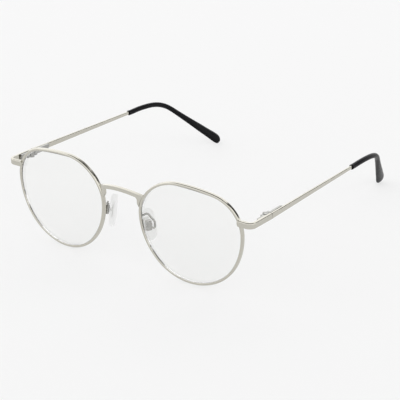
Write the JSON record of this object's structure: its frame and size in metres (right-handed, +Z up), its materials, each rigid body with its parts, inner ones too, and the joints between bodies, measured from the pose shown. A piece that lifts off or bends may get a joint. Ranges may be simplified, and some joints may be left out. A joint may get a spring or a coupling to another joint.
{
  "type": "eyeglasses",
  "caption": "Round metal-rimmed eyeglasses with clear lenses, an arched bridge, adjustable nose pads and slim folding temples with dark curved tips.",
  "frame": {"origin": "middle of the footprint, on the surface the open pair stands on", "axes": "+X towards the wearer's left, +Y back along the temples, +Z up; lenses face -Y"},
  "size_m": [0.1326, 0.1492, 0.0469],
  "materials": {
    "frame_metal": "satin champagne silver",
    "screw_steel": "bright turned",
    "lens": "clear polished",
    "pad_silicone": "clear soft, satin",
    "insert_plastic": "frosted",
    "tip_acetate": "polished black"
  },
  "bodies": {
    "front": {"bridge": "frame_metal", "rim_left": "frame_metal", "rim_right": "frame_metal", "lens_left": "lens", "lens_right": "lens", "endpiece_left": "frame_metal", "endpiece_right": "frame_metal", "rim_lock_upper_left": "frame_metal", "rim_lock_upper_right": "frame_metal", "rim_lock_lower_left": "frame_metal", "rim_lock_lower_right": "frame_metal", "rim_lock_screw_left": "screw_steel", "rim_lock_screw_right": "screw_steel", "pad_arm_left": "frame_metal", "pad_arm_right": "frame_metal", "pad_box_left": "frame_metal", "pad_box_right": "frame_metal", "pad_screw_left": "screw_steel", "pad_screw_right": "screw_steel", "hinge_front_leaf_left": "frame_metal", "hinge_front_leaf_right": "frame_metal", "hinge_screw_left": "screw_steel", "hinge_screw_right": "screw_steel"},
    "temple_arm_left": {"temple_left": "frame_metal", "temple_tip_left": "tip_acetate", "hinge_temple_leaf_left": "frame_metal"},
    "pad_left": {"nose_pad_left": "pad_silicone", "nose_pad_insert_left": "insert_plastic"},
    "temple_arm_right": {"temple_right": "frame_metal", "temple_tip_right": "tip_acetate", "hinge_temple_leaf_right": "frame_metal"},
    "pad_right": {"nose_pad_right": "pad_silicone", "nose_pad_insert_right": "insert_plastic"}
  },
  "joints": [
    {"name": "temple_left_fold", "type": "hinge", "parent": "front", "child": "temple_arm_left", "pos_m": [0.06367, -0.05597, 0.03427], "axis": [0, 0.0439, 0.999], "range_deg": [0, 85]},
    {"name": "temple_right_fold", "type": "hinge", "parent": "front", "child": "temple_arm_right", "pos_m": [-0.06367, -0.05597, 0.03427], "axis": [0, -0.0439, -0.999], "range_deg": [0, 75]},
    {"name": "nose_pad_left_rock", "type": "hinge", "parent": "front", "child": "pad_left", "pos_m": [0.01184, -0.06784, 0.02177], "axis": [0.473, 0.8806, 0.0292], "range_deg": [-6, 6]},
    {"name": "nose_pad_right_rock", "type": "hinge", "parent": "front", "child": "pad_right", "pos_m": [-0.01154, -0.06792, 0.02372], "axis": [0.473, -0.8806, -0.0292], "range_deg": [-6, 6]}
  ]
}
